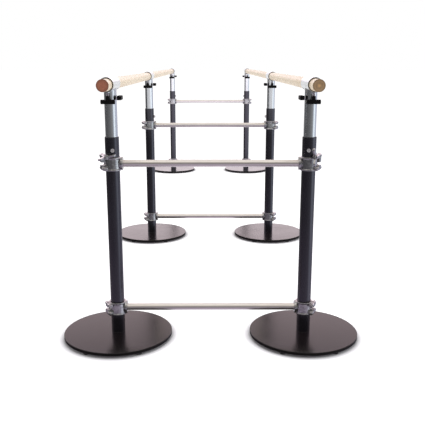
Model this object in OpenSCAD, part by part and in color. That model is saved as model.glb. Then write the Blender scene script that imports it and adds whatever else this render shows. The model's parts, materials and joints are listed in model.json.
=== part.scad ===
// Free-standing double barre: two round wooden rails side by side, each carried by three
// height-adjustable posts on round steel bases, with cross tubes clamped between the rows.
// +X is right, +Y runs along the rails to the rear, +Z is up. The origin is on the floor,
// midway between the two rows and midway between the front and rear posts.

/* [Layout] */
// Distance between the two rows of posts
row_spacing = 703; // [560:1:900]
// Distance from the front posts to the middle posts
front_bay = 1470; // [1000:10:2400]
// Distance from the middle posts to the rear posts
rear_bay = 2410; // [1000:10:2600]
// Height of the rail axis above the floor
rail_height = 940; // [880:5:1160]
// Height of the upper cross tubes above the floor
upper_height = 661; // [300:1:664]
// Height of the lower cross tubes above the floor
lower_height = 115; // [75:1:200]
// How much lower the rear one of the lower cross tubes is clamped
rear_lower_drop = 25; // [0:1:30]

/* [Base] */
// Diameter of a base plate
base_d = 406; // [300:1:500]
// Thickness of a base plate
base_t = 12; // [8:0.5:16]
// Height of a rubber foot
foot_h = 8; // [6:0.5:14]
// Diameter of a rubber foot
foot_d = 26; // [20:1:40]
// Number of feet under each base
foot_count = 6; // [3:1:8]

/* [Post] */
// Outside diameter of the fixed outer post
post_d = 50.8; // [48:0.1:60]
// Wall thickness of the outer post
post_wall = 1.8; // [1.5:0.1:2.4]
// Height of the top of the outer post above the floor
post_top = 755; // [740:5:800]
// Outside diameter of the sliding inner tube
inner_d = 44.4; // [42:0.1:44.4]
// Wall thickness of the inner tube
inner_wall = 2; // [1.5:0.1:3]
// Length of the inner tube below the rail axis
inner_length = 590; // [450:5:620]
// Height of the height-lock screws above the floor
lock_height = 711; // [709:1:713]

/* [Rail] */
// Diameter of a wooden rail
rail_d = 42; // [38:0.5:44]
// Length of rail beyond the front and rear post axes
rail_overhang = 166; // [120:1:200]
// Outside diameter of the sleeve that holds the rail
sleeve_d = 50.8; // [50:0.1:60]
// Wall thickness of the sleeve
sleeve_wall = 3; // [2:0.1:3.4]
// Length of the sleeve
sleeve_length = 170; // [150:1:230]
// Distance of the bar screw in front of the post axis
bar_screw_offset = 62; // [45:1:70]
// Depth of the head screw below the rail axis
head_screw_drop = 47; // [44:1:60]

/* [Cross tubes] */
// Outside diameter of a cross tube
cross_d = 25.4; // [20:0.1:32]
// Wall thickness of a cross tube
cross_wall = 1.5; // [1:0.1:3]
// Height of a clamp collar
clamp_h = 48; // [46:1:54]
// Wall thickness of a clamp collar
clamp_wall = 5.6; // [4:0.1:6]
// Distance from the post axis to the face of the clamp socket
socket_reach = 37; // [34:0.5:50]
// Turn of the clamp ears from straight outward, towards the front
ear_turn = 26; // [0:1:27]

/* [Screws] */
// Length of the T-handle of a bar or head screw
t_bar_length = 49; // [36:1:56]
// Width of the square T-handle
t_bar_w = 15; // [12:0.5:18]
// Span of a wing nut over both wings
wing_span = 66; // [50:1:66]
// Lean of the wings of the left wing nut from upright, towards the post
left_wing_lean = 77; // [0:1:90]
// Lean of the wings of the right wing nut from upright, towards the post
right_wing_lean = 5; // [0:1:90]
// Direction of the height-lock screws at the front, from straight inward towards the front
front_lock_turn = 80; // [0:5:90]
// Direction of the height-lock screws at the middle and rear
other_lock_turn = 15; // [0:5:90]

/* [Hidden] */

// Sides and stations
LEFT = -1;
RIGHT = 1;
FRONT = 0;
MIDDLE = 1;
REAR = 2;
SIDES = [LEFT, RIGHT];
STATIONS = [FRONT, MIDDLE, REAR];
station_y = [-(front_bay + rear_bay) / 2, (front_bay - rear_bay) / 2, (front_bay + rear_bay) / 2];

// Height of the lower cross tube of a station
function lower_z(station) = lower_height - (station == REAR ? rear_lower_drop : 0);

// Fits
running = 0.08;    // radial clearance of a sliding or turning fit
seated = 0.04;     // radial clearance of a fixed fit
tip_gap = 0.3;     // space left in front of the tip of a loosened screw
cut = 1;           // how far a cutting solid runs past the face it cuts
$fn = 96;

// Base
base_top = foot_h + base_t;
base_edge = 1.2;                     // chamfer round the base plate
foot_inset = 16;                     // from the rim of the base to the middle of a foot
foot_circle_r = base_d / 2 - foot_inset;
foot_lead = 2;                       // taper of a foot towards the floor
foot_screw_r = 2.5;
foot_screw_head_r = 4.6;
foot_screw_head_h = 3;
foot_screw_bite = 5;                 // depth of a foot screw in the plate
foot_web = 3;                        // rubber between the screw head and the plate
base_bolt_r = 6;
base_bolt_head_r = 12;
base_bolt_head_h = 6;
base_bolt_bite = 16;                 // depth of the base bolt in the plug
base_bolt_key = 8;                   // across the flats of its hexagon socket
base_bolt_key_h = 4;
plug_h = 25;

// Post
post_bore_r = post_d / 2 - post_wall;
inner_r = inner_d / 2;
inner_bore_r = inner_r - inner_wall;
bush_depth = 34;
bush_lip_h = 1.5;
bush_lip_in = 0.6;                   // the lip stops this far inside the post's outer face
glide_h = 14;
glide_spigot_h = 25;
glide_spigot_wall = 3;
lock_boss_r = 7.5;
lock_boss_h = 3;
lock_boss_root = 2;                  // how far a boss reaches into the rounding of the post
lock_thread_r = 4;
lock_head_r = 6.5;
lock_head_h = 5;
lock_play = 0.2;                     // gap under the head of a lock screw
lock_key = 5;                        // across the flats of its hexagon socket
lock_key_h = 3;

// Rail head
rail_r = rail_d / 2;
sleeve_r = sleeve_d / 2;
sleeve_bore_r = sleeve_r - sleeve_wall;
liner_lip_h = 1.2;
liner_lip_in = 1.4;                  // the lip stops this far inside the sleeve's outer face
liner_hole_r = 4.25;                 // hole for the bar screw in a liner
stem_length = 70;                    // length of the head's stem below the sleeve
stem_wall = 3;
bar_boss_r = 8;
bar_boss_h = 1.5;
head_boss_r = 8;
head_boss_h = 1.5;
rail_chamfer = 1.2;

// T-handle screws
t_thread_r = 4;
t_hub_r = 7;
t_hub_h = 19.5;                      // most a hub reaches from the axis of the handle
t_edge = 1.4;                        // chamfer round the ends of the T-handle
t_round = 1.2;                       // how much of its corners is rounded off
bar_screw_stand = 31;                // from the boss under the sleeve to the handle's axis
head_screw_stand = 9.5;              // from the boss on the tube to the handle's axis

// Clamps
collar_bore_r = post_d / 2 + running;
collar_r = collar_bore_r + clamp_wall;
collar_bead = 1.6;                   // how far the rims of the collar stand proud
collar_bead_h = 5;
socket_r = 24;
socket_neck_r = 20;
socket_rim = 8;                      // thickness of the wide disc at the face of the socket
socket_depth = 8;
lobe_r = 9;                          // radius of the rounded ends of an ear
ear_reach = 43.5;                    // from the post axis to the tip of an ear
ear_t = 8.5;
ear_gap = 4;
ear_face = ear_gap / 2 + ear_t;      // from the middle of the slit to the outer face of an ear
notch_h = 10;                        // notch between the two bolts
notch_z = 2;
notch_x = 29.5;
bolt_x = ear_reach - lobe_r;
low_bolt_z = lobe_r - clamp_h / 2;   // heights of the bolts above the axis of the cross tube
high_bolt_z = clamp_h / 2 - lobe_r;
clamp_cut_h = 2 * clamp_h;           // height of a cut through the whole clamp
wing_rise = 14;                      // the upper bolt of a wing-nut clamp is this much higher
boss_r = 8.5;
boss_face = 19.8;                    // from the middle of the slit to the front of a boss
wing_boss_face = 26.3;               // the same where a wing nut is seated
bolt_r = 4;
bolt_head_h = 5.5;
bolt_tail = 3;                       // thread standing out of a nut
wing_bolt_tail = 20;                 // thread standing out of the boss behind a wing nut
button_r = 7;
button_h = 4.6;
button_dome_r = 8;
button_key = 5;                      // across the flats of its hexagon socket
button_key_h = 2;
nut_af = 13;
nut_h = 6.8;
hex_chamfer = 0.7;                   // height of the turned-off corners of a hexagon
wing_seat_gap = 0.1;                 // play under a wing nut
wing_hub_r = 10;
wing_hub_taper = 1.5;
wing_hub_h = 13;
wing_t = 7;
wing_lobe_r = 9;
wing_lobe_lift = 18;                 // from the seat to the middle of a wing's lobe
wing_flank = 50;                     // slope of the straight edges of a wing

// ---------------------------------------------------------------- placing

module at_post(side, station) {
    translate([side * row_spacing / 2, station_y[station], 0]) children();
}

// Builds a right-hand part and mirrors it for the left row, so +X always points outward.
module outward(side) {
    mirror([side == LEFT ? 1 : 0, 0, 0]) children();
}

module at_every_post() {
    for (side = SIDES, station = STATIONS) {
        at_post(side, station) outward(side) children();
    }
}

module at_every_foot() {
    for (k = [0 : foot_count - 1]) {
        rotate([0, 0, k * 360 / foot_count]) translate([foot_circle_r, 0, 0]) children();
    }
}

module hexagon(across_flats, h) {
    cylinder(r = across_flats / sqrt(3), h = h, $fn = 6);
}

// Hexagon whose corners are turned off at the top, as on a bolt head or a nut.
module turned_hexagon(across_flats, h) {
    corner_r = across_flats / sqrt(3);
    intersection() {
        hexagon(across_flats, h);
        union() {
            cylinder(r = corner_r + cut, h = h - hex_chamfer);
            translate([0, 0, h - hex_chamfer])
                cylinder(r1 = corner_r, r2 = corner_r - 2 * hex_chamfer, h = hex_chamfer);
        }
    }
}

// ---------------------------------------------------------------- bases

module base_plate() {
    rim = base_d / 2;
    difference() {
        translate([0, 0, foot_h]) rotate_extrude() polygon([
            [0, 0], [rim - base_edge, 0], [rim, base_edge],
            [rim, base_t - base_edge], [rim - base_edge, base_t], [0, base_t]
        ]);
        translate([0, 0, foot_h - cut]) cylinder(r = base_bolt_r + seated, h = base_t + 2 * cut);
        translate([0, 0, foot_h - cut])
            cylinder(r = base_bolt_head_r + seated, h = base_bolt_head_h + cut);
        at_every_foot() translate([0, 0, foot_h - cut])
            cylinder(r = foot_screw_r + seated, h = foot_screw_bite + 2 * cut);
    }
}

module rubber_foot() {
    difference() {
        cylinder(r1 = foot_d / 2 - foot_lead, r2 = foot_d / 2, h = foot_h);
        translate([0, 0, -cut])
            cylinder(r = foot_screw_head_r + seated, h = foot_h - foot_web + cut);
        translate([0, 0, -cut]) cylinder(r = foot_screw_r + seated, h = foot_h + 2 * cut);
    }
}

module foot_screw() {
    top = foot_h - foot_web;
    translate([0, 0, top - foot_screw_head_h]) cylinder(r = foot_screw_head_r, h = foot_screw_head_h);
    translate([0, 0, top - cut]) cylinder(r = foot_screw_r, h = foot_web + foot_screw_bite + cut);
}

module base_bolt() {
    translate([0, 0, foot_h]) difference() {
        union() {
            cylinder(r = base_bolt_head_r, h = base_bolt_head_h);
            cylinder(r = base_bolt_r, h = base_t + base_bolt_bite);
        }
        translate([0, 0, -cut]) hexagon(base_bolt_key, base_bolt_key_h + cut);
    }
}

module post_plug() {
    translate([0, 0, base_top]) difference() {
        cylinder(r = post_bore_r - seated, h = plug_h);
        translate([0, 0, -cut]) cylinder(r = base_bolt_r + seated, h = plug_h + 2 * cut);
    }
}

module base_plates() { color("dimgray") at_every_post() base_plate(); }

module rubber_feet() { color("black") at_every_post() at_every_foot() rubber_foot(); }

module foot_screws() { color("silver") at_every_post() at_every_foot() foot_screw(); }

module base_bolts() { color("silver") at_every_post() base_bolt(); }

module post_plugs() { color("gray") at_every_post() post_plug(); }

// ---------------------------------------------------------------- outer posts

// Turns a screw that points along +Z, tip first, to point at the post axis from inside the rows.
module at_lock(station) {
    turn = station == FRONT ? front_lock_turn : other_lock_turn;
    translate([0, 0, lock_height]) rotate([0, 0, 180 + turn]) translate([post_d / 2, 0, 0])
        rotate([0, -90, 0]) children();
}

module outer_post(station) {
    difference() {
        union() {
            translate([0, 0, base_top]) cylinder(r = post_d / 2, h = post_top - base_top);
            at_lock(station) translate([0, 0, -lock_boss_h])
                cylinder(r = lock_boss_r, h = lock_boss_h + lock_boss_root);
        }
        translate([0, 0, base_top - cut]) cylinder(r = post_bore_r, h = post_top - base_top + 2 * cut);
        at_lock(station) translate([0, 0, -lock_boss_h - cut])
            cylinder(r = lock_thread_r + running, h = post_d / 2);
    }
}

module post_bush() {
    bore = inner_r + running;
    difference() {
        union() {
            translate([0, 0, post_top - bush_depth])
                cylinder(r = post_bore_r - seated, h = bush_depth + bush_lip_h);
            translate([0, 0, post_top]) cylinder(r = post_d / 2 - bush_lip_in, h = bush_lip_h);
        }
        translate([0, 0, post_top - bush_depth - cut])
            cylinder(r = bore, h = bush_depth + bush_lip_h + 2 * cut);
    }
}

// Low-headed socket screw whose tip stops just short of the sliding tube.
module lock_screw(side, station) {
    reach = post_d / 2 - inner_r - tip_gap;
    seat = -lock_boss_h - lock_play;
    color("gray") at_post(side, station) outward(side) at_lock(station) difference() {
        union() {
            translate([0, 0, seat - lock_head_h]) cylinder(r = lock_head_r, h = lock_head_h);
            translate([0, 0, seat - cut]) cylinder(r = lock_thread_r, h = reach - seat + cut);
        }
        translate([0, 0, seat - lock_head_h - cut]) hexagon(lock_key, lock_key_h + cut);
    }
}

module outer_posts() {
    color([0.15, 0.15, 0.17]) for (side = SIDES, station = STATIONS) {
        at_post(side, station) outward(side) outer_post(station);
    }
}

module post_bushes() { color("black") at_every_post() post_bush(); }

// ---------------------------------------------------------------- sliding tubes and rail heads

module at_rail(side, station) {
    translate([side * row_spacing / 2, station_y[station], rail_height]) outward(side) children();
}

// Points a screw up into the sleeve, with its seat on the boss under the sleeve.
module at_bar_screw() {
    translate([0, -bar_screw_offset, -sleeve_r - bar_boss_h]) children();
}

// Points a screw outward into the tube from its inner side, with its seat on the boss.
module at_head_screw() {
    translate([-inner_r - head_boss_h, 0, -head_screw_drop]) rotate([0, 90, 0]) children();
}

module inner_tube() {
    difference() {
        union() {
            translate([0, 0, -inner_length]) cylinder(r = inner_r, h = inner_length);
            at_head_screw() cylinder(r = head_boss_r, h = head_boss_h + inner_wall);
        }
        translate([0, 0, -inner_length - cut]) cylinder(r = inner_bore_r, h = inner_length + 2 * cut);
        rotate([90, 0, 0]) cylinder(r = sleeve_r + seated, h = 2 * sleeve_length, center = true);
        at_head_screw() translate([0, 0, -cut])
            cylinder(r = t_thread_r + running, h = head_boss_h + 2 * inner_wall + 2 * cut);
    }
}

module tube_glide() {
    difference() {
        union() {
            translate([0, 0, -inner_length - glide_h]) cylinder(r = post_bore_r - running, h = glide_h);
            translate([0, 0, -inner_length - cut])
                cylinder(r = inner_bore_r - seated, h = glide_spigot_h + cut);
        }
        translate([0, 0, -inner_length - glide_h - cut])
            cylinder(r = inner_bore_r - glide_spigot_wall, h = glide_h + glide_spigot_h + 2 * cut);
    }
}

module rail_head() {
    stem_r = inner_bore_r - seated;
    difference() {
        union() {
            rotate([90, 0, 0]) cylinder(r = sleeve_r, h = sleeve_length, center = true);
            translate([0, 0, -sleeve_r - stem_length]) cylinder(r = stem_r, h = sleeve_r + stem_length);
            at_bar_screw() cylinder(r = bar_boss_r, h = bar_boss_h + sleeve_wall);
        }
        rotate([90, 0, 0])
            cylinder(r = sleeve_bore_r, h = sleeve_length + 2 * cut, center = true);
        translate([0, 0, -sleeve_r - stem_length - cut])
            cylinder(r = stem_r - stem_wall, h = sleeve_r + stem_length + cut);
        at_bar_screw() translate([0, 0, -cut])
            cylinder(r = t_thread_r + running, h = sleeve_r);
    }
}

// Two flanged liners, one pushed in from each end of the sleeve.
module head_liners() {
    half = sleeve_length / 2;
    difference() {
        for (way = [-1, 1]) rotate([way * 90, 0, 0]) {
            translate([0, 0, tip_gap]) cylinder(r = sleeve_bore_r - seated, h = half - tip_gap);
            translate([0, 0, half]) cylinder(r = sleeve_r - liner_lip_in, h = liner_lip_h);
        }
        rotate([90, 0, 0])
            cylinder(r = rail_r + running, h = sleeve_length * 2, center = true);
        at_bar_screw() cylinder(r = liner_hole_r, h = sleeve_r);
    }
}

module rail_bar(side) {
    length = front_bay + rear_bay + 2 * rail_overhang;
    color("wheat") translate([side * row_spacing / 2, length / 2, rail_height]) rotate([90, 0, 0])
        rotate_extrude() polygon([
            [0, 0], [rail_r - rail_chamfer, 0], [rail_r, rail_chamfer],
            [rail_r, length - rail_chamfer], [rail_r - rail_chamfer, length], [0, length]
        ]);
}

module at_each_station(side) {
    for (station = STATIONS) at_rail(side, station) children();
}

module inner_tubes(side) { color("silver") at_each_station(side) inner_tube(); }

module tube_glides(side) { color("black") at_each_station(side) tube_glide(); }

module rail_heads(side) { color("silver") at_each_station(side) rail_head(); }

module liners(side) { color("black") at_each_station(side) head_liners(); }

// ---------------------------------------------------------------- T-handle screws

// Square bar along X with rounded corners and chamfered ends.
module t_bar() {
    corner_r = t_bar_w / sqrt(2) - t_round;
    half = t_bar_length / 2;
    intersection() {
        cube([t_bar_length, t_bar_w, t_bar_w], center = true);
        rotate([0, 90, 0]) rotate_extrude() polygon([
            [0, -half], [corner_r - 2 * t_edge, -half], [corner_r, -half + t_edge],
            [corner_r, half - t_edge], [corner_r - 2 * t_edge, half], [0, half]
        ]);
    }
}

// Points up from a handle at the depth stand; the threaded stud passes z = 0 and ends at reach.
module t_screw(stand, reach) {
    translate([0, 0, -stand]) t_bar();
    translate([0, 0, -stand]) cylinder(r = t_hub_r, h = min(t_hub_h, stand - tip_gap));
    translate([0, 0, -stand]) cylinder(r = t_thread_r, h = stand + reach);
}

module bar_screw(side, station) {
    reach = bar_boss_h + sleeve_r - rail_r - tip_gap;
    color([0.06, 0.06, 0.06]) at_rail(side, station) at_bar_screw() t_screw(bar_screw_stand, reach);
}

module head_screw(side, station) {
    reach = head_boss_h + inner_wall - tip_gap;
    color([0.06, 0.06, 0.06]) at_rail(side, station) at_head_screw()
        rotate([0, 0, 90]) t_screw(head_screw_stand, reach);
}

// ---------------------------------------------------------------- cross tubes and clamps

module cross_tube(station, height) {
    length = row_spacing - 2 * (socket_reach - socket_depth);
    translate([0, station_y[station], height]) rotate([0, 90, 0]) difference() {
        cylinder(d = cross_d, h = length, center = true);
        cylinder(d = cross_d - 2 * cross_wall, h = length + cut, center = true);
    }
}

// Outline of an ear, seen along the bolts: a lobe round each bolt with a notch between them.
module ear_outline(rise) {
    top_z = high_bolt_z + rise;
    difference() {
        union() {
            translate([bolt_x - lobe_r, low_bolt_z]) square([2 * lobe_r, top_z - low_bolt_z]);
            for (z = [low_bolt_z, top_z]) translate([bolt_x, z]) circle(r = lobe_r);
        }
        translate([notch_x + notch_h / 2, notch_z]) circle(r = notch_h / 2);
        translate([notch_x + notch_h / 2, notch_z - notch_h / 2]) square([ear_reach, notch_h]);
    }
}

// Turns from straight outward to the way the ears point.
module towards_ears() {
    rotate([0, 0, -ear_turn]) children();
}

// Points along a bolt of a clamp, towards the front, from the middle of the slit.
module at_bolt(z) {
    towards_ears() translate([bolt_x, 0, z]) rotate([90, 0, 0]) children();
}

// Split collar with a socket for the cross tube on the inner side and two ears on the outer side.
// The upper bolt sits higher by rise, and its front boss ends at face.
module clamp(rise, face) {
    difference() {
        union() {
            translate([0, 0, -clamp_h / 2]) cylinder(r = collar_r, h = clamp_h);
            for (z = [-clamp_h / 2, clamp_h / 2 - collar_bead_h]) {
                translate([0, 0, z]) cylinder(r = collar_r + collar_bead, h = collar_bead_h);
            }
            rotate([0, -90, 0]) cylinder(r = socket_neck_r, h = socket_reach - socket_rim / 2);
            translate([-socket_reach + socket_rim, 0, 0]) rotate([0, -90, 0])
                cylinder(r = socket_r, h = socket_rim);
            towards_ears() rotate([90, 0, 0]) linear_extrude(2 * ear_face, center = true) ear_outline(rise);
            at_bolt(low_bolt_z) cylinder(r = boss_r, h = 2 * boss_face, center = true);
            at_bolt(high_bolt_z + rise) translate([0, 0, -boss_face])
                cylinder(r = boss_r, h = boss_face + face);
        }
        cylinder(r = collar_bore_r, h = clamp_cut_h, center = true);
        translate([-socket_reach - cut, 0, 0]) rotate([0, 90, 0])
            cylinder(r = cross_d / 2 + seated, h = socket_depth + cut);
        towards_ears() translate([0, -ear_gap / 2, -clamp_cut_h / 2])
            cube([ear_reach + cut, ear_gap, clamp_cut_h]);
        for (z = [low_bolt_z, high_bolt_z + rise]) at_bolt(z)
            cylinder(r = bolt_r + seated, h = 2 * face + 2 * cut, center = true);
    }
}

// Upper bolt: hexagon head on the rear boss, threaded end in front of the front boss.
module long_bolt(length) {
    translate([0, 0, -boss_face]) mirror([0, 0, 1]) turned_hexagon(nut_af, bolt_head_h);
    translate([0, 0, -boss_face - cut]) cylinder(r = bolt_r, h = boss_face + length + cut);
}

// Lower bolt: button head on the front boss, nut on the rear boss.
module button_bolt() {
    back = boss_face + nut_h + bolt_tail;
    translate([0, 0, -back]) cylinder(r = bolt_r, h = back + boss_face + cut);
    translate([0, 0, boss_face]) difference() {
        intersection() {
            cylinder(r = button_r, h = button_h);
            translate([0, 0, button_h - button_dome_r]) sphere(r = button_dome_r);
        }
        translate([0, 0, button_h - button_key_h]) hexagon(button_key, button_key_h + cut);
    }
}

module clamp_nut() {
    difference() {
        turned_hexagon(nut_af, nut_h);
        translate([0, 0, -cut]) cylinder(r = bolt_r + seated, h = nut_h + 2 * cut);
    }
}

// Places a part at both clamps of a cross tube.
module at_clamps(station, height) {
    for (side = SIDES) at_post(side, station) outward(side) translate([0, 0, height]) children();
}

module plain_bolts() {
    at_bolt(high_bolt_z) long_bolt(boss_face + nut_h + bolt_tail);
    at_bolt(low_bolt_z) button_bolt();
}

module wing_clamp_bolts() {
    at_bolt(high_bolt_z + wing_rise) long_bolt(wing_boss_face + wing_bolt_tail);
    at_bolt(low_bolt_z) button_bolt();
}

// Nut behind the lower bolt of a clamp.
module rear_nut() {
    at_bolt(low_bolt_z) translate([0, 0, -boss_face]) mirror([0, 0, 1]) clamp_nut();
}

// Nuts of a clamp that has no wing nut.
module plain_nuts() {
    at_bolt(high_bolt_z) translate([0, 0, boss_face]) clamp_nut();
    rear_nut();
}

// Both wings, seen across the bolt: x runs out from the bolt axis and y along it.
module wing_outline() {
    lobe_x = wing_span / 2 - wing_lobe_r;
    edge_x = wing_lobe_r * cos(wing_flank);
    edge_y = wing_lobe_r * sin(wing_flank);
    for (way = [0, 1]) mirror([way, 0]) {
        translate([lobe_x, wing_lobe_lift]) circle(r = wing_lobe_r);
        polygon([
            [0, cut], [wing_hub_r - cut, cut], [lobe_x + edge_x, wing_lobe_lift - edge_y],
            [lobe_x - edge_x, wing_lobe_lift + edge_y], [0, wing_hub_h - cut]
        ]);
    }
}

module wing_nut(side) {
    lean = side == LEFT ? left_wing_lean : right_wing_lean;
    color("silver") at_post(side, FRONT) outward(side) translate([0, 0, upper_height])
        at_bolt(high_bolt_z + wing_rise) translate([0, 0, wing_boss_face + wing_seat_gap])
            rotate([0, 0, 90 + lean]) difference() {
                union() {
                    cylinder(r1 = wing_hub_r, r2 = wing_hub_r - wing_hub_taper, h = wing_hub_h);
                    rotate([90, 0, 0]) linear_extrude(wing_t, center = true) wing_outline();
                }
                translate([0, 0, -cut]) cylinder(r = bolt_r + running, h = 2 * wing_hub_h);
            }
}

module lower_cross_tubes() {
    color("lightgray") for (station = STATIONS) cross_tube(station, lower_z(station));
}

module lower_clamps() {
    color("silver") for (station = STATIONS) at_clamps(station, lower_z(station)) clamp(0, boss_face);
}

module lower_clamp_bolts() {
    color("gray") for (station = STATIONS) at_clamps(station, lower_z(station)) plain_bolts();
}

module lower_clamp_nuts() {
    color("silver") for (station = STATIONS) at_clamps(station, lower_z(station)) plain_nuts();
}

module upper_cross_tube(station) { color("lightgray") cross_tube(station, upper_height); }

module upper_clamps(station) {
    color("silver") at_clamps(station, upper_height) clamp(0, boss_face);
}

module upper_clamp_bolts(station) { color("gray") at_clamps(station, upper_height) plain_bolts(); }

module upper_clamp_nuts(station) { color("silver") at_clamps(station, upper_height) plain_nuts(); }

module front_clamps() {
    color("silver") at_clamps(FRONT, upper_height) clamp(wing_rise, wing_boss_face);
}

module front_clamp_bolts() { color("gray") at_clamps(FRONT, upper_height) wing_clamp_bolts(); }

module front_clamp_nuts() { color("silver") at_clamps(FRONT, upper_height) rear_nut(); }

// ---------------------------------------------------------------- nodes

base_plates();
rubber_feet();
foot_screws();
base_bolts();
post_plugs();
outer_posts();
post_bushes();

lower_cross_tubes();
lower_clamps();
lower_clamp_bolts();
lower_clamp_nuts();

inner_tubes(LEFT);  // left_inner_tubes
tube_glides(LEFT);  // left_tube_glides
rail_heads(LEFT);  // left_rail_heads
liners(LEFT);  // left_head_liners
rail_bar(LEFT);  // left_bar
inner_tubes(RIGHT);  // right_inner_tubes
tube_glides(RIGHT);  // right_tube_glides
rail_heads(RIGHT);  // right_rail_heads
liners(RIGHT);  // right_head_liners
rail_bar(RIGHT);  // right_bar

upper_cross_tube(FRONT);  // front_cross_tube
front_clamps();
front_clamp_bolts();
front_clamp_nuts();
upper_cross_tube(MIDDLE);  // middle_cross_tube
upper_clamps(MIDDLE);  // middle_clamps
upper_clamp_bolts(MIDDLE);  // middle_clamp_bolts
upper_clamp_nuts(MIDDLE);  // middle_clamp_nuts
upper_cross_tube(REAR);  // rear_cross_tube
upper_clamps(REAR);  // rear_clamps
upper_clamp_bolts(REAR);  // rear_clamp_bolts
upper_clamp_nuts(REAR);  // rear_clamp_nuts

bar_screw(LEFT, FRONT);  // front_left_bar_screw
bar_screw(RIGHT, FRONT);  // front_right_bar_screw
bar_screw(LEFT, MIDDLE);  // middle_left_bar_screw
bar_screw(RIGHT, MIDDLE);  // middle_right_bar_screw
bar_screw(LEFT, REAR);  // rear_left_bar_screw
bar_screw(RIGHT, REAR);  // rear_right_bar_screw

head_screw(LEFT, FRONT);  // front_left_head_screw
head_screw(RIGHT, FRONT);  // front_right_head_screw
head_screw(LEFT, MIDDLE);  // middle_left_head_screw
head_screw(RIGHT, MIDDLE);  // middle_right_head_screw
head_screw(LEFT, REAR);  // rear_left_head_screw
head_screw(RIGHT, REAR);  // rear_right_head_screw

lock_screw(LEFT, FRONT);  // front_left_lock_screw
lock_screw(RIGHT, FRONT);  // front_right_lock_screw
lock_screw(LEFT, MIDDLE);  // middle_left_lock_screw
lock_screw(RIGHT, MIDDLE);  // middle_right_lock_screw
lock_screw(LEFT, REAR);  // rear_left_lock_screw
lock_screw(RIGHT, REAR);  // rear_right_lock_screw

wing_nut(LEFT);  // front_left_wing_nut
wing_nut(RIGHT);  // front_right_wing_nut
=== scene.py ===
"""Looks of the portable double ballet barre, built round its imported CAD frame.

Every material is made of nodes and reads the part's own coordinates in metres, so a texture stays
on its piece when the piece moves. The pieces made here ride on the CAD bodies.
"""

import json
import math

import bmesh
import bpy
from mathutils import Matrix, Vector

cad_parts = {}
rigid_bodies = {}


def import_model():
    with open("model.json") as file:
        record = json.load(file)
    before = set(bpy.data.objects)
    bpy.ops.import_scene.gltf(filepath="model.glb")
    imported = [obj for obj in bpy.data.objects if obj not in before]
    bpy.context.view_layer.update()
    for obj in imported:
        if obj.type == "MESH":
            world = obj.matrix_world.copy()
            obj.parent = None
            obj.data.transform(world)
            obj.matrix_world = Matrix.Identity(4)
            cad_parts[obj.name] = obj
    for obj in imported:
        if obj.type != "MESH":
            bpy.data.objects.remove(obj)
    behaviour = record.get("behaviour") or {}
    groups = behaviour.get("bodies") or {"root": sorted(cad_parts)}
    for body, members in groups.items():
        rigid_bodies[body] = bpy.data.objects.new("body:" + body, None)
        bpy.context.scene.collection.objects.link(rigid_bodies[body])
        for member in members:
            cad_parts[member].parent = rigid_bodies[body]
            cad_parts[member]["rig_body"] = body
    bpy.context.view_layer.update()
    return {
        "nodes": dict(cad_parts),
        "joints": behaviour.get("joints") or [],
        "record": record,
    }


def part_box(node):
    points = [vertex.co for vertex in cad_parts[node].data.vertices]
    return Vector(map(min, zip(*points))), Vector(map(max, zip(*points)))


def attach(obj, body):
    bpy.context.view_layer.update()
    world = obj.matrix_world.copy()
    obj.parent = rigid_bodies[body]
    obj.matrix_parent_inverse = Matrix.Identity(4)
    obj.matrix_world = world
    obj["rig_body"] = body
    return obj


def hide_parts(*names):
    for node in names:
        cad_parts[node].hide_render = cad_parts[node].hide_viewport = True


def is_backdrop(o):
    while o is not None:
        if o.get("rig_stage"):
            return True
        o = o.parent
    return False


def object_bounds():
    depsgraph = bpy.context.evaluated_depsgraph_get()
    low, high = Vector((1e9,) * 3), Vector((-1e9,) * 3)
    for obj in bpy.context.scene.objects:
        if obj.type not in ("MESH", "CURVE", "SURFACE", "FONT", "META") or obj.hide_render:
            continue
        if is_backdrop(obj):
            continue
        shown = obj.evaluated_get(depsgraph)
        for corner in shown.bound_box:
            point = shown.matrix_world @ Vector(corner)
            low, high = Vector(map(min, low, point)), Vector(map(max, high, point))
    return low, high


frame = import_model()

MM = 0.001
SIDES = ("left", "right")
STATIONS = ("front", "middle", "rear")
NODES = frame["nodes"]
SCENE = bpy.context.scene


# ---------------------------------------------------------------- node helpers

def new_material(name):
    """A material with only its output node. Returns the material and its tree."""
    material = bpy.data.materials.new(name)
    material.use_nodes = True
    tree = material.node_tree
    tree.nodes.clear()
    return material, tree


def add(tree, kind, inputs=None, **settings):
    """One shader node. An input is a value, or a socket to link from."""
    made = tree.nodes.new("ShaderNode" + kind)
    for key, value in settings.items():
        setattr(made, key, value)
    for key, value in (inputs or {}).items():
        if isinstance(value, bpy.types.NodeSocket):
            tree.links.new(value, made.inputs[key])
        else:
            made.inputs[key].default_value = value
    return made


def math_node(tree, operation, a, b=0.0, c=0.0):
    return add(tree, "Math", {0: a, 1: b, 2: c}, operation=operation).outputs[0]


def between(tree, value, low, high, out_low=0.0, out_high=1.0, smooth=False):
    """value moved from the range low..high to out_low..out_high, and held at the ends."""
    made = add(tree, "MapRange", {"Value": value, "From Min": low, "From Max": high,
                                  "To Min": out_low, "To Max": out_high}, clamp=True)
    if smooth:
        made.interpolation_type = "SMOOTHSTEP"
    return made.outputs["Result"]


def mix_colour(tree, factor, a, b, blend="MIX"):
    """Colour a at factor 0 and b at factor 1. Each is a triple or a socket."""
    made = add(tree, "Mix", {0: factor}, data_type="RGBA", blend_type=blend)
    for index, value in ((6, a), (7, b)):
        if isinstance(value, bpy.types.NodeSocket):
            tree.links.new(value, made.inputs[index])
        else:
            made.inputs[index].default_value = (*value, 1.0)
    return made.outputs[2]


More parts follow.
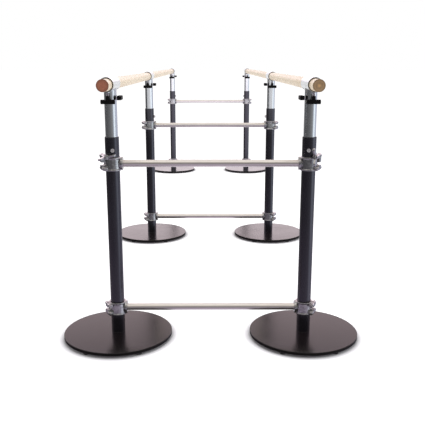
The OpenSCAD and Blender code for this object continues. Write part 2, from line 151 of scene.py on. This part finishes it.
def ramp(tree, value, *stops):
    """A colour ramp through (position, colour) stops."""
    made = add(tree, "ValToRGB", {"Fac": value})
    elements = made.color_ramp.elements
    while len(elements) < len(stops):
        elements.new(0.5)
    for element, (position, colour) in zip(elements, stops):
        element.position = position
        element.color = (*colour, 1.0)
    return made.outputs["Color"]


def place(tree, scale=(1, 1, 1), shift=(0, 0, 0)):
    """The part's own coordinates in metres, scaled and shifted."""
    coordinates = add(tree, "TexCoord").outputs["Object"]
    return add(tree, "Mapping", {"Vector": coordinates, "Scale": scale, "Location": shift}).outputs[0]


def noise(tree, vector, scale, detail=3.0, rough=0.55):
    """Fractal noise from 0 to 1, with about scale lumps to the metre."""
    return add(tree, "TexNoise", {"Vector": vector, "Scale": scale, "Detail": detail,
                                  "Roughness": rough}).outputs["Fac"]


def bump(tree, height, distance, strength):
    """A normal bent by a height map. distance is how deep it looks, in metres."""
    return add(tree, "Bump", {"Height": height, "Distance": distance,
                              "Strength": strength}).outputs["Normal"]


def edge_wear(tree, radius, low=0.02, high=0.2):
    """About 1 on sharp edges and 0 on flats, broken up by noise."""
    rounded = add(tree, "Bevel", {"Radius": radius}, samples=4).outputs["Normal"]
    true_normal = add(tree, "NewGeometry").outputs["Normal"]
    agree = add(tree, "VectorMath", {0: rounded, 1: true_normal}, operation="DOT_PRODUCT").outputs["Value"]
    bend = math_node(tree, "SUBTRACT", 1.0, agree)
    broken = noise(tree, place(tree), 420, 4)
    return math_node(tree, "MULTIPLY", between(tree, bend, low, high), between(tree, broken, 0.35, 0.6))


def surface(tree, **inputs):
    """The principled shader, linked to the material's output. Underscores stand for spaces."""
    named = {key.replace("_", " "): value for key, value in inputs.items()}
    shader = add(tree, "BsdfPrincipled", named)
    output = add(tree, "OutputMaterial")
    tree.links.new(shader.outputs[0], output.inputs["Surface"])


def grey(value):
    return (value, value, value)


# ---------------------------------------------------------------- materials

def wood(name, axis, pith, end_colours, end_shade_stops):
    """Pale maple with a clear varnish.

    axis is the axis of the rail and pith the middle of its growth rings, both as x and z. The last argument
    gives the stops of a ramp, from the axis to the rim, that paints shade on the sawn ends, darker towards
    the rim.
    """
    material, tree = new_material(name)
    coordinates = add(tree, "TexCoord")
    split = add(tree, "SeparateXYZ", {0: coordinates.outputs["Object"]})
    x, y, z = split.outputs
    wander_x = noise(tree, place(tree, (0.5, 0.9, 0.5), (3.1, 0, 0)), 1.0, 2)
    wander_z = noise(tree, place(tree, (0.5, 0.9, 0.5), (0, 0, 7.7)), 1.0, 2)
    ring_x = math_node(tree, "ADD", math_node(tree, "SUBTRACT", x, pith[0]),
                       math_node(tree, "MULTIPLY", math_node(tree, "SUBTRACT", wander_x, 0.5), 0.03))
    ring_z = math_node(tree, "ADD", math_node(tree, "SUBTRACT", z, pith[1]),
                       math_node(tree, "MULTIPLY", math_node(tree, "SUBTRACT", wander_z, 0.5), 0.03))
    flat = add(tree, "CombineXYZ", {0: ring_x, 1: 0.0, 2: ring_z}).outputs[0]
    radius = add(tree, "VectorMath", {0: flat}, operation="LENGTH").outputs["Value"]
    uneven = math_node(tree, "MULTIPLY", noise(tree, place(tree), 45, 2), 0.0035)
    rings_per_metre = 310
    rings = math_node(tree, "FRACT", math_node(tree, "MULTIPLY", math_node(tree, "ADD", radius, uneven),
                                               rings_per_metre))
    late_wood = between(tree, rings, 0.55, 0.97, 0, 1, smooth=True)
    late_wood = math_node(tree, "MULTIPLY", late_wood, between(tree, rings, 1.0, 0.96))

    fibre = noise(tree, place(tree, (1, 0.018, 1)), 2600, 4, 0.6)
    streak = noise(tree, place(tree, (1, 0.03, 1)), 330, 4, 0.6)
    fleck = between(tree, noise(tree, place(tree, (1, 0.12, 1)), 900, 2), 0.62, 0.72)
    cloud = noise(tree, place(tree, (1, 0.25, 1)), 12, 3)

    pale = mix_colour(tree, between(tree, cloud, 0.3, 0.7), (0.88, 0.75, 0.565), (0.83, 0.68, 0.48))
    grain = mix_colour(tree, math_node(tree, "MULTIPLY", late_wood, 0.16), pale, (0.60, 0.41, 0.23))
    grain = mix_colour(tree, between(tree, streak, 0.45, 0.75, 0, 0.22), grain, (0.68, 0.49, 0.30))
    grain = mix_colour(tree, between(tree, fibre, 0.5, 0.75, 0, 0.12), grain, (0.62, 0.45, 0.29))
    grain = mix_colour(tree, math_node(tree, "MULTIPLY", fleck, 0.04), grain, (0.52, 0.36, 0.22))

    pore = noise(tree, place(tree), 2400, 3, 0.7)
    end_ring = mix_colour(tree, late_wood, end_colours[0], end_colours[1])
    end_grain = mix_colour(tree, between(tree, pore, 0.5, 0.7, 0, 0.55), end_ring, end_colours[2])
    end_grain = mix_colour(tree, between(tree, noise(tree, place(tree), 90, 3), 0.35, 0.7, 0, 0.5),
                           end_grain, end_colours[3])
    off_axis = add(tree, "CombineXYZ", {0: math_node(tree, "SUBTRACT", x, axis[0]), 1: 0.0,
                                        2: math_node(tree, "SUBTRACT", z, axis[1])}).outputs[0]
    from_axis = add(tree, "VectorMath", {0: off_axis}, operation="LENGTH").outputs["Value"]
    from_axis = math_node(tree, "ADD", from_axis, math_node(tree, "MULTIPLY", uneven, 1.2))
    # Painted shade: the sawn end is darkened from its axis towards its rim, and the whole end is then lifted
    # by 1.6.
    rim_shade = ramp(tree, between(tree, from_axis, 0.002, 0.023), *end_shade_stops)
    end_grain = mix_colour(tree, 1.0, end_grain, rim_shade, "MULTIPLY")
    end_grain = mix_colour(tree, 1.0, end_grain, grey(1.6), "MULTIPLY")

    normal_split = add(tree, "SeparateXYZ", {0: coordinates.outputs["Normal"]})
    facing_end = between(tree, math_node(tree, "ABSOLUTE", normal_split.outputs[1]), 0.3, 0.6)
    colour = mix_colour(tree, facing_end, grain, end_grain)
    side_height = math_node(tree, "SUBTRACT", math_node(tree, "MULTIPLY", fibre, -0.15),
                            math_node(tree, "MULTIPLY", late_wood, 0.1))
    end_height = math_node(tree, "SUBTRACT", math_node(tree, "MULTIPLY", late_wood, 0.8), pore)
    height = add(tree, "Mix", {0: facing_end, 2: side_height, 3: end_height}).outputs[0]
    rough = add(tree, "Mix", {0: facing_end, 2: between(tree, streak, 0.3, 0.8, 0.34, 0.46),
                              3: 0.62}).outputs[0]
    surface(tree, Base_Color=colour, Roughness=rough, Normal=bump(tree, height, 0.00004, 0.5),
            Specular_IOR_Level=0.45, Coat_Weight=math_node(tree, "MULTIPLY_ADD", facing_end, -0.13, 0.18),
            Coat_Roughness=0.22)
    return material


def paint(name, dark, light, rough, peel=0.00002, wear=(0.34, 0.33, 0.33), speck=0.12, shine=0.5,
          tint=(1.0, 1.0, 1.0), matt_shaded_sides=False):
    """Sprayed paint on steel: orange peel, fine dust and edges rubbed through to metal.

    An option makes the upright faces, such as a plate's cut rim, matt and darkens them with painted shade.
    """
    material, tree = new_material(name)
    cloud = noise(tree, place(tree), 9, 3)
    peel_noise = noise(tree, place(tree), 520, 2)
    dust = between(tree, noise(tree, place(tree), 1500, 2), 0.66, 0.74)
    scuff = between(tree, noise(tree, place(tree, (1, 1, 0.12)), 130, 5, 0.7), 0.62, 0.78)
    colour = mix_colour(tree, between(tree, cloud, 0.3, 0.7), dark, light)
    colour = mix_colour(tree, math_node(tree, "MULTIPLY", dust, speck), colour, grey(0.3))
    worn = edge_wear(tree, 0.0012)
    colour = mix_colour(tree, math_node(tree, "MULTIPLY", worn, 0.75), colour, wear)
    satin = between(tree, cloud, 0.3, 0.7, rough, rough + 0.05)
    roughness = math_node(tree, "MULTIPLY_ADD", scuff, 0.12, satin)
    if matt_shaded_sides:
        up = add(tree, "SeparateXYZ", {0: add(tree, "NewGeometry").outputs["True Normal"]}).outputs[2]
        side = between(tree, math_node(tree, "ABSOLUTE", up), 0.9, 0.5)
        # Painted shade: the upright faces are darkened to near black.
        colour = mix_colour(tree, math_node(tree, "MULTIPLY", side, 0.75), colour, grey(0.003))
        roughness = math_node(tree, "MULTIPLY_ADD", side, 0.35, roughness)
        shine = between(tree, side, 0, 1, shine, 0.12)
    surface(tree, Base_Color=colour, Roughness=roughness, Metallic=math_node(tree, "MULTIPLY", worn, 0.6),
            Specular_IOR_Level=shine, Specular_Tint=(*tint, 1.0), Normal=bump(tree, peel_noise, peel, 0.5))
    return material


def drawn_metal(name, light, dark, rough, along, stretch=0.01, hairline=1.0, metallic=1.0):
    """Drawn and polished metal: hairlines along one axis, faint smears and a few scratches.

    along is the axis of the part (0, 1 or 2), stretch how long the hairlines are drawn out, and
    hairline how strong they are.
    """
    material, tree = new_material(name)
    scale = [1.0, 1.0, 1.0]
    scale[along] = stretch
    lines = noise(tree, place(tree, scale), 2600, 4, 0.65)
    scratch_scale = [1.0, 1.0, 1.0]
    scratch_scale[(along + 1) % 3] = 0.04
    scratch = between(tree, noise(tree, place(tree, scratch_scale, (0.3, 0.1, 0.7)), 700, 3), 0.69, 0.73,
                      0, hairline)
    smear = noise(tree, place(tree), 24, 4, 0.6)
    colour = mix_colour(tree, between(tree, smear, 0.3, 0.7), light, dark)
    colour = mix_colour(tree, between(tree, lines, 0.45, 0.8, 0, 0.2 * hairline), colour, grey(0.45))
    worn = edge_wear(tree, 0.0006)
    roughness = math_node(tree, "ADD", between(tree, smear, 0.3, 0.75, rough, rough + 0.08),
                          math_node(tree, "MULTIPLY", scratch, 0.2))
    roughness = math_node(tree, "SUBTRACT", roughness, math_node(tree, "MULTIPLY", worn, 0.05))
    height = math_node(tree, "SUBTRACT", lines, math_node(tree, "MULTIPLY", scratch, 0.8))
    surface(tree, Base_Color=colour, Metallic=metallic, Roughness=roughness,
            Normal=bump(tree, height, 0.000004 * hairline, 0.25 * hairline))
    return material


def cast_metal(name, light, dark, rough):
    """Sand-cast and plated: grainy skin, painted shade darkening the hollows, bright rubbed edges."""
    material, tree = new_material(name)
    skin = noise(tree, place(tree), 900, 5, 0.7)
    lump = noise(tree, place(tree), 150, 3)
    pits = between(tree, add(tree, "TexVoronoi", {"Vector": place(tree), "Scale": 700.0}).outputs["Distance"],
                   0.0, 0.25)
    painted_hollow_shade = add(tree, "AmbientOcclusion", {"Distance": 0.012}, samples=6).outputs["AO"]
    colour = mix_colour(tree, between(tree, lump, 0.3, 0.7), light, dark)
    colour = mix_colour(tree, between(tree, skin, 0.55, 0.8, 0, 0.5), colour, dark)
    # Painted shade: the colour goes towards near black where ambient occlusion finds a hollow.
    colour = mix_colour(tree, between(tree, painted_hollow_shade, 0.25, 0.85, 0.75, 0.0), colour, grey(0.07))
    worn = edge_wear(tree, 0.0022, 0.03, 0.25)
    colour = mix_colour(tree, math_node(tree, "MULTIPLY", worn, 0.8), colour, grey(0.86))
    roughness = math_node(tree, "SUBTRACT", between(tree, skin, 0.3, 0.8, rough, rough + 0.16),
                          math_node(tree, "MULTIPLY", worn, 0.14))
    height = math_node(tree, "ADD", skin, math_node(tree, "MULTIPLY", pits, 0.4))
    height = math_node(tree, "MULTIPLY_ADD", lump, 1.6, height)
    surface(tree, Base_Color=colour, Metallic=1.0, Roughness=roughness,
            Normal=bump(tree, height, 0.00009, 0.5))
    return material


def plastic(name, colour, rough, grain=1700, depth=0.00005, shine=0.5, dust=0.10):
    """Moulded plastic or rubber: fine spark texture, dust in the texture and scuffed edges."""
    material, tree = new_material(name)
    texture = noise(tree, place(tree), grain, 3, 0.6)
    cloud = noise(tree, place(tree), 40, 3)
    dusty = mix_colour(tree, between(tree, texture, 0.55, 0.8, 0, 0.35), colour, grey(dust))
    dusty = mix_colour(tree, between(tree, cloud, 0.4, 0.8, 0, 0.3), dusty, grey(dust * 0.45))
    worn = edge_wear(tree, 0.001)
    dusty = mix_colour(tree, math_node(tree, "MULTIPLY", worn, 0.35), dusty, grey(dust * 1.6))
    surface(tree, Base_Color=dusty, Roughness=between(tree, cloud, 0.3, 0.7, rough, rough + 0.14),
            Specular_IOR_Level=shine, Normal=bump(tree, texture, depth, 0.6))
    return material


MATERIALS = {
    "base_paint": paint("base_paint", (0.007, 0.0045, 0.005), (0.010, 0.0065, 0.0075), 0.18,
                        peel=0.000006, wear=(0.16, 0.14, 0.14), speck=0.04, matt_shaded_sides=True),
    "post_paint": paint("post_paint", (0.0022, 0.0015, 0.0026), (0.0042, 0.0030, 0.0050), 0.19,
                        peel=0.000005, speck=0.03, shine=1.0, tint=(0.96, 0.96, 1.14)),
    "foot_rubber": plastic("foot_rubber", (0.012, 0.012, 0.012), 0.7, grain=900, depth=0.0001, shine=0.3),
    "plated_steel": drawn_metal("plated_steel", (0.60, 0.60, 0.61), (0.44, 0.44, 0.45), 0.28, 2, 0.3),
    "black_nylon": plastic("black_nylon", (0.012, 0.012, 0.013), 0.42),
    "cross_tube_metal": drawn_metal("cross_tube_metal", (0.88, 0.85, 0.83), (0.82, 0.79, 0.78), 0.29, 0,
                                    hairline=0.4),
    "cast_metal": cast_metal("cast_metal", (0.62, 0.63, 0.64), (0.34, 0.34, 0.36), 0.12),
    "polished_tube": drawn_metal("polished_tube", (0.80, 0.83, 0.87), (0.74, 0.77, 0.80), 0.15, 2, 0.004,
                                 hairline=0.35),
    "black_plastic": plastic("black_plastic", (0.002, 0.002, 0.0024), 0.5, shine=0.12, dust=0.02),
    "grey_screw": drawn_metal("grey_screw", (0.66, 0.64, 0.66), (0.52, 0.51, 0.53), 0.34, 2, 0.4,
                              metallic=0.6),
}

# The sawn ends differ: the left one is stained a copper red, the right one shows its growth rings.
# Each side gives the offset of the pith, the colours of its sawn end and the stops of the painted shade on
# that end, from axis to rim.
END_LOOK = {
    "left": (
        (-0.012, 0.006),
        ((0.30, 0.10, 0.055), (0.17, 0.048, 0.025), (0.11, 0.032, 0.018), (0.37, 0.14, 0.075)),
        ((0.0, grey(0.66)), (0.55, grey(0.62)), (0.8, grey(0.5)), (1.0, grey(0.33))),
    ),
    "right": (
        (0.001, 0.001),
        ((0.32, 0.20, 0.10), (0.17, 0.095, 0.045), (0.13, 0.075, 0.038), (0.41, 0.28, 0.16)),
        ((0.0, (1.0, 0.95, 0.85)), (0.15, (0.85, 0.8, 0.7)), (0.3, grey(0.58)), (0.5, grey(0.5)),
         (0.66, grey(0.62)), (0.85, grey(0.5)), (1.0, grey(0.36))),
    ),
}
JOINT_AT = {joint["name"]: joint["pos_m"] for joint in frame["joints"] if joint.get("pos_m")}
RAIL_WOOD = {}
for side, (pith_offset, colours, shade_stops) in END_LOOK.items():
    rail_x, _, rail_z = JOINT_AT[f"front_{side}_bar_screw_turn"]
    pith = (rail_x + pith_offset[0], rail_z + pith_offset[1])
    RAIL_WOOD[side] = wood(f"rail_wood_{side}", (rail_x, rail_z), pith, colours, shade_stops)

for name, cad in NODES.items():
    slot = next(s["material_slot"] for s in frame["record"]["subparts"] if s["node"] == name)
    cad.data.materials.clear()
    if slot == "rail_wood":
        cad.data.materials.append(RAIL_WOOD[name.split("_")[0]])
    else:
        cad.data.materials.append(MATERIALS[slot])


# ---------------------------------------------------------------- pieces

def add_piece(name, mesh, body, material):
    piece = bpy.data.objects.new(name, mesh)
    SCENE.collection.objects.link(piece)
    mesh.materials.clear()
    mesh.materials.append(material)
    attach(piece, body)
    return piece


def round_casting(node, grid, passes):
    """A copy of a cast node with its edges rounded, as they leave the mould. It stands for the node."""
    cad = NODES[node]
    piece = add_piece(f"{node}_casting", cad.data.copy(), cad["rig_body"],
                      MATERIALS["cast_metal"])
    regrid = piece.modifiers.new("regrid", "REMESH")
    regrid.mode = "VOXEL"
    regrid.voxel_size = grid
    regrid.use_smooth_shade = True
    smooth = piece.modifiers.new("smooth", "SMOOTH")
    smooth.factor = 0.5
    smooth.iterations = passes
    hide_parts(node)


def add_thread(shape, start, direction, length):
    """Adds the ridges of an M8 screw thread to a bmesh, from start along direction."""
    crest, root, pitch, around = 4.2 * MM, 3.9 * MM, 1.25 * MM, 32
    turn = Vector(direction).to_track_quat("Z", "Y").to_matrix().to_4x4()
    stand = Matrix.Translation(start) @ turn
    rows = []
    for i in range(int(2 * length / pitch) + 4):
        row = []
        for j in range(around):
            z = pitch * (i / 2 + j / around - 1)
            radius = crest if i % 2 and 0 < z < length else root
            angle = 2 * math.pi * j / around
            point = Vector((radius * math.cos(angle), radius * math.sin(angle), min(max(z, 0), length)))
            row.append(shape.verts.new(stand @ point))
        rows.append(row)
    for i in range(len(rows) - 1):
        for j in range(around):
            # One turn along the helix, the row that follows is two further on.
            if j + 1 < around:
                corners = (rows[i][j], rows[i][j + 1], rows[i + 1][j + 1], rows[i + 1][j])
            elif i + 3 < len(rows):
                corners = (rows[i][j], rows[i + 2][0], rows[i + 3][0], rows[i + 1][j])
            else:
                continue
            shape.faces.new(corners)


def thread_piece(name, body, threads):
    """One piece made of several lengths of thread, each a start, a direction and a length."""
    shape = bmesh.new()
    for start, direction, length in threads:
        add_thread(shape, start, direction, length)
    weld = 0.002 * MM
    bmesh.ops.remove_doubles(shape, verts=shape.verts, dist=weld)
    bmesh.ops.dissolve_degenerate(shape, edges=shape.edges, dist=weld)
    bmesh.ops.holes_fill(shape, edges=shape.edges, sides=0)
    bmesh.ops.recalc_face_normals(shape, faces=shape.faces)
    mesh = bpy.data.meshes.new(name)
    shape.to_mesh(mesh)
    shape.free()
    return add_piece(name, mesh, body, MATERIALS["plated_steel"])


def post_axis(side, station):
    """x and y of the axis of a post."""
    return JOINT_AT[f"{station}_{side}_bar_screw_turn"][0], JOINT_AT[f"{station}_{side}_head_screw_turn"][1]


def tail(side, station, height, near, far):
    """Thread on a clamp bolt, from near to far along the bolt towards the front."""
    bolt = next(j for j in frame["joints"] if j["name"] == f"front_{side}_wing_nut_turn")
    front_x, front_y = post_axis(side, "front")
    x, y = post_axis(side, station)
    out = Vector((bolt["pos_m"][0] - front_x, bolt["pos_m"][1] - front_y, 0))
    forward = -Vector(bolt["axis"])
    middle = Vector((x, y, height)) + out
    return middle + forward * near, forward * (1 if far > near else -1), abs(far - near)


def middle_height(node):
    low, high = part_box(node)
    return (low[2] + high[2]) / 2


# Heights of the clamp bolts above the axis of the cross tube
UPPER_BOLT, LOWER_BOLT, WING_BOLT = 15 * MM, -15 * MM, 29 * MM
# Outer face of a nut and end of its bolt, from the slit of the clamp
NUT_FACE, TAIL_END = 26.6 * MM, 29.6 * MM
WING_FACE, WING_TAIL_END = 39.4 * MM, 46.3 * MM
CROSS_RADIUS = 12.7 * MM
# Grid on which a casting is rebuilt, and how often it is smoothed
CLAMP_GRID, CLAMP_PASSES = 1.0 * MM, 2
WING_GRID, WING_PASSES = 0.7 * MM, 3

for node in NODES:
    if node.endswith("_clamps"):
        round_casting(node, CLAMP_GRID, CLAMP_PASSES)
    elif node.endswith("_wing_nut"):
        round_casting(node, WING_GRID, WING_PASSES)

for station in STATIONS:
    height = middle_height(f"{station}_cross_tube")
    if station == "front":
        tails = [tail(side, station, height + WING_BOLT, WING_FACE, WING_TAIL_END) for side in SIDES]
    else:
        tails = [tail(side, station, height + UPPER_BOLT, NUT_FACE, TAIL_END) for side in SIDES]
    tails += [tail(side, station, height + LOWER_BOLT, -NUT_FACE, -TAIL_END) for side in SIDES]
    thread_piece(f"{station}_clamp_bolt_threads", f"{station}_crossbar", tails)

low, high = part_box("lower_cross_tubes")
LOWER_AXIS = {"front": high[2] - CROSS_RADIUS, "middle": high[2] - CROSS_RADIUS,
              "rear": low[2] + CROSS_RADIUS}
thread_piece("lower_clamp_bolt_threads", "stands", [
    tail(side, station, LOWER_AXIS[station] + bolt, way * NUT_FACE, way * TAIL_END)
    for side in SIDES for station in STATIONS for bolt, way in ((UPPER_BOLT, 1), (LOWER_BOLT, -1))
])

# Bare stud between the hub of a bar screw and the boss under the sleeve
STUD_LENGTH = 11.5 * MM
# From the axis of the rail down to the face of that boss
BOSS_DROP = 26.9 * MM
for side in SIDES:
    for station in STATIONS:
        x, y, z = JOINT_AT[f"{station}_{side}_bar_screw_turn"]
        start = Vector((x, y, z - BOSS_DROP - STUD_LENGTH))
        thread_piece(f"{station}_{side}_bar_screw_thread", f"{station}_{side}_bar_screw_body",
                     [(start, (0, 0, 1), STUD_LENGTH)])


# ---------------------------------------------------------------- stage, light and camera

def studio(tree, direction):
    """What a mirror sees of the studio in a direction, as a colour.

    Level with the object the room is dim in front and on the left, with a tall soft light on the
    right. The floor is grey close by. Above, a white sweep stands behind and a soft light fills the
    top, while the room behind the camera is darker.
    """
    x, y, z = add(tree, "SeparateXYZ", {0: direction}).outputs
    azimuth = math_node(tree, "ARCTAN2", x, math_node(tree, "MULTIPLY", y, -1.0))
    round_about = between(tree, azimuth, -math.pi, math.pi)
    room = ramp(tree, round_about,
                (0.0, grey(1.0)), (0.03, grey(0.85)), (0.08, grey(0.36)), (0.15, grey(0.09)),
                (0.27, grey(0.07)),
                (0.36, grey(0.09)), (0.47, grey(0.13)), (0.52, grey(0.18)), (0.60, grey(0.27)),
                (0.645, (0.45, 0.48, 0.54)), (0.672, (1.06, 1.14, 1.20)), (0.735, (1.06, 1.14, 1.20)),
                (0.765, (0.54, 0.56, 0.66)), (0.83, (0.52, 0.54, 0.64)), (0.92, (0.56, 0.56, 0.64)),
                (0.97, grey(0.9)), (1.0, grey(1.0)))
    near_floor = between(tree, z, -0.16, -0.40, smooth=True)
    below = mix_colour(tree, near_floor, room, mix_colour(tree, 0.45, (0.62, 0.51, 0.66), room))
    behind = ramp(tree, z,
                  (0.0, (0.28, 0.26, 0.27)), (0.09, (0.30, 0.28, 0.29)), (0.16, (1.0, 0.90, 0.96)),
                  (0.26, (0.84, 0.72, 0.76)),
                  (0.36, (0.70, 0.55, 0.56)), (0.44, (0.26, 0.215, 0.25)), (0.62, (0.22, 0.20, 0.20)),
                  (0.8, (0.36, 0.345, 0.32)), (1.0, (0.46, 0.44, 0.41)))
    ahead = ramp(tree, z, (0.0, grey(0.07)), (0.3, (0.14, 0.125, 0.12)), (0.6, (0.20, 0.185, 0.17)),
                 (0.85, (0.42, 0.40, 0.37)), (1.0, (0.46, 0.44, 0.41)))
    above = mix_colour(tree, between(tree, y, 0.15, -0.35), behind, ahead)
    above = mix_colour(tree, 1.0, above, grey(2.3), "MULTIPLY")
    return mix_colour(tree, between(tree, z, 0.02, 0.12), below, above)


def make_floor():
    """A pale floor with a soft contact shadow. In a mirror it shows the studio."""
    shadow_reach = 0.075
    mesh = bpy.data.meshes.new("floor")
    half = 90.0
    corners = [(-half, -half, 0), (half, -half, 0), (half, half, 0), (-half, half, 0)]
    mesh.from_pydata(corners, [], [(0, 1, 2, 3)])
    floor = bpy.data.objects.new("floor", mesh)
    SCENE.collection.objects.link(floor)
    material, tree = new_material("pale_floor")
    ray = add(tree, "LightPath")
    near = add(tree, "AmbientOcclusion", {"Distance": shadow_reach}, samples=16).outputs["AO"]
    seen = add(tree, "BsdfDiffuse", {"Color": (0.80, 0.79, 0.80, 1)})
    lit = ramp(tree, between(tree, near, 0.0, 1.0), (0.0, grey(0.0)), (0.5, (0.01, 0.008, 0.01)),
               (0.78, (0.30, 0.29, 0.31)), (0.92, (0.62, 0.61, 0.63)), (1.0, grey(0.74)))
    glow = add(tree, "Emission", {"Color": lit, "Strength": 1.0})
    plain = add(tree, "AddShader", {0: seen.outputs[0], 1: glow.outputs[0]})
    towards = add(tree, "VectorMath", {0: add(tree, "NewGeometry").outputs["Incoming"], 3: -1.0},
                  operation="SCALE").outputs["Vector"]
    mirrored = add(tree, "Emission", {"Color": studio(tree, towards), "Strength": 1.0})
    chosen = add(tree, "MixShader", {0: ray.outputs["Is Glossy Ray"], 1: plain.outputs[0],
                                     2: mirrored.outputs[0]})
    output = add(tree, "OutputMaterial")
    tree.links.new(chosen.outputs[0], output.inputs["Surface"])
    mesh.materials.append(material)
    floor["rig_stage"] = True


def make_world():
    """The camera sees plain white, mirrors see the studio, and soft light comes from all round."""
    world = bpy.data.worlds.new("studio")
    SCENE.world = world
    world.use_nodes = True
    tree = world.node_tree
    tree.nodes.clear()
    direction = add(tree, "TexCoord").outputs["Generated"]
    ray = add(tree, "LightPath")
    soft_light, backdrop = grey(0.42), grey(1.0)
    soft = mix_colour(tree, ray.outputs["Is Camera Ray"], soft_light, backdrop)
    seen = mix_colour(tree, ray.outputs["Is Glossy Ray"], soft, studio(tree, direction))
    mixed = add(tree, "Background", {"Color": seen, "Strength": 1.0})
    output = add(tree, "OutputWorld")
    tree.links.new(mixed.outputs[0], output.inputs["Surface"])


def area_light(name, location, target, size, size_y, power, colour=(1, 1, 1)):
    """A soft light at location that faces target and isn't mirrored."""
    data = bpy.data.lights.new(name, "AREA")
    data.shape = "RECTANGLE"
    data.size, data.size_y = size, size_y
    data.energy = power
    data.color = colour
    light = bpy.data.objects.new(name, data)
    light.location = location
    light.visible_glossy = False
    light.rotation_mode = "QUATERNION"
    light.rotation_quaternion = (Vector(target) - Vector(location)).to_track_quat("-Z", "Y")
    SCENE.collection.objects.link(light)
    return light


def white_card(name, station, bottom, top, brightness, colour):
    """A lit card across the barre, ahead of a station, that only shows where it is mirrored."""
    ahead, width, height = 0.74, 3.2, top - bottom
    y, z = JOINT_AT[f"{station}_left_lock_screw_turn"][1] - ahead, (bottom + top) / 2
    power = brightness * math.pi * width * height
    card = area_light(name, (0, y, z), (0, y + 1, z), width, height, power, colour)
    card.visible_glossy = True
    card.visible_camera = False
    card.visible_diffuse = False


def make_camera():
    """Eye level a little above the rails, looking down the length of the barre."""
    front_y = JOINT_AT["front_left_lock_screw_turn"][1]
    data = bpy.data.cameras.new("camera")
    data.lens = 54.04
    data.clip_end = 400
    aside, ahead, height = -0.006, 2.2696, 1.0096
    pitch, yaw = math.radians(13.14), math.radians(0.31)
    camera = bpy.data.objects.new("camera", data)
    camera.location = (aside, front_y - ahead, height)
    forward = Vector((math.sin(yaw) * math.cos(pitch), math.cos(yaw) * math.cos(pitch), -math.sin(pitch)))
    camera.rotation_mode = "QUATERNION"
    camera.rotation_quaternion = forward.to_track_quat("-Z", "Y")
    SCENE.collection.objects.link(camera)
    SCENE.camera = camera


make_floor()
make_world()
area_light("overhead", (0, 0.2, 3.6), (0, 0.2, 0), size=3.0, size_y=6.0, power=60)
area_light("key_right", (3.4, -3.0, 2.0), (0, -1.0, 0.6), size=1.2, size_y=2.6, power=35,
           colour=(0.93, 0.97, 1.0))
area_light("fill_front", (-1.6, -5.4, 2.6), (0, -1.0, 0.6), size=2.4, size_y=1.8, power=20)
white_card("middle_card", "middle", bottom=0.60, top=1.05, brightness=0.54, colour=(1.0, 0.99, 1.0))
white_card("rear_card", "rear", bottom=0.0, top=1.1, brightness=0.78, colour=(1.0, 0.93, 1.0))
make_camera()
SCENE.view_settings.view_transform = "Standard"
SCENE.cycles.use_denoising = True

low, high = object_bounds()
